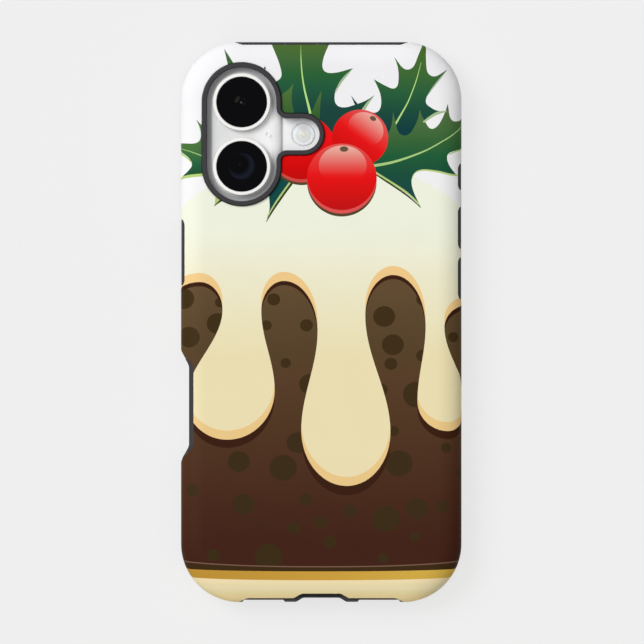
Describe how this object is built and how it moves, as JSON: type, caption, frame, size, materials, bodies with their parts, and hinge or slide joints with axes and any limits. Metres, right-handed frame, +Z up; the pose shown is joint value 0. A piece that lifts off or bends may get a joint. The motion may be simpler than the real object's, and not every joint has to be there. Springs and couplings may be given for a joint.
{
  "type": "phone case",
  "caption": "Two-layer phone case with a festive pudding print, fitted on a phone, with a camera window, soft button covers and a finger notch.",
  "frame": {"origin": "middle of the case on the surface that it lies on, screen side down", "axes": "+Z up, out of the printed back; +Y along the long side towards the camera; +X to the right seen from behind"},
  "size_m": [0.076, 0.152, 0.0126],
  "materials": {
    "printed_shell": "hard plastic with a satin printed back: cream sauce over brown pudding, red berries and green leaves on white",
    "soft_liner": "matte charcoal soft plastic",
    "phone_metal": "satin anodised",
    "back_glass": "white glass, satin, glossier on the camera's raised part",
    "screen_glass": "polished black glass",
    "key_glass": "polished grey glass key",
    "port_plastic": "black moulded plastic",
    "lens_metal": "polished silver rim",
    "lens_glass": "polished black cover glass with a coated lens under it",
    "flash_lens": "ribbed clear lens over a pale yellow emitter"
  },
  "bodies": {
    "root": {"shell": "printed_shell", "liner": "soft_liner", "phone_frame": "phone_metal", "back_glass": "back_glass", "screen_glass": "screen_glass", "camera_key": "key_glass", "port_tongue": "port_plastic", "lens_ring_upper": "lens_metal", "lens_ring_lower": "lens_metal", "lens_glass_upper": "lens_glass", "lens_glass_lower": "lens_glass", "flash_lens": "flash_lens"}
  },
  "joints": []
}
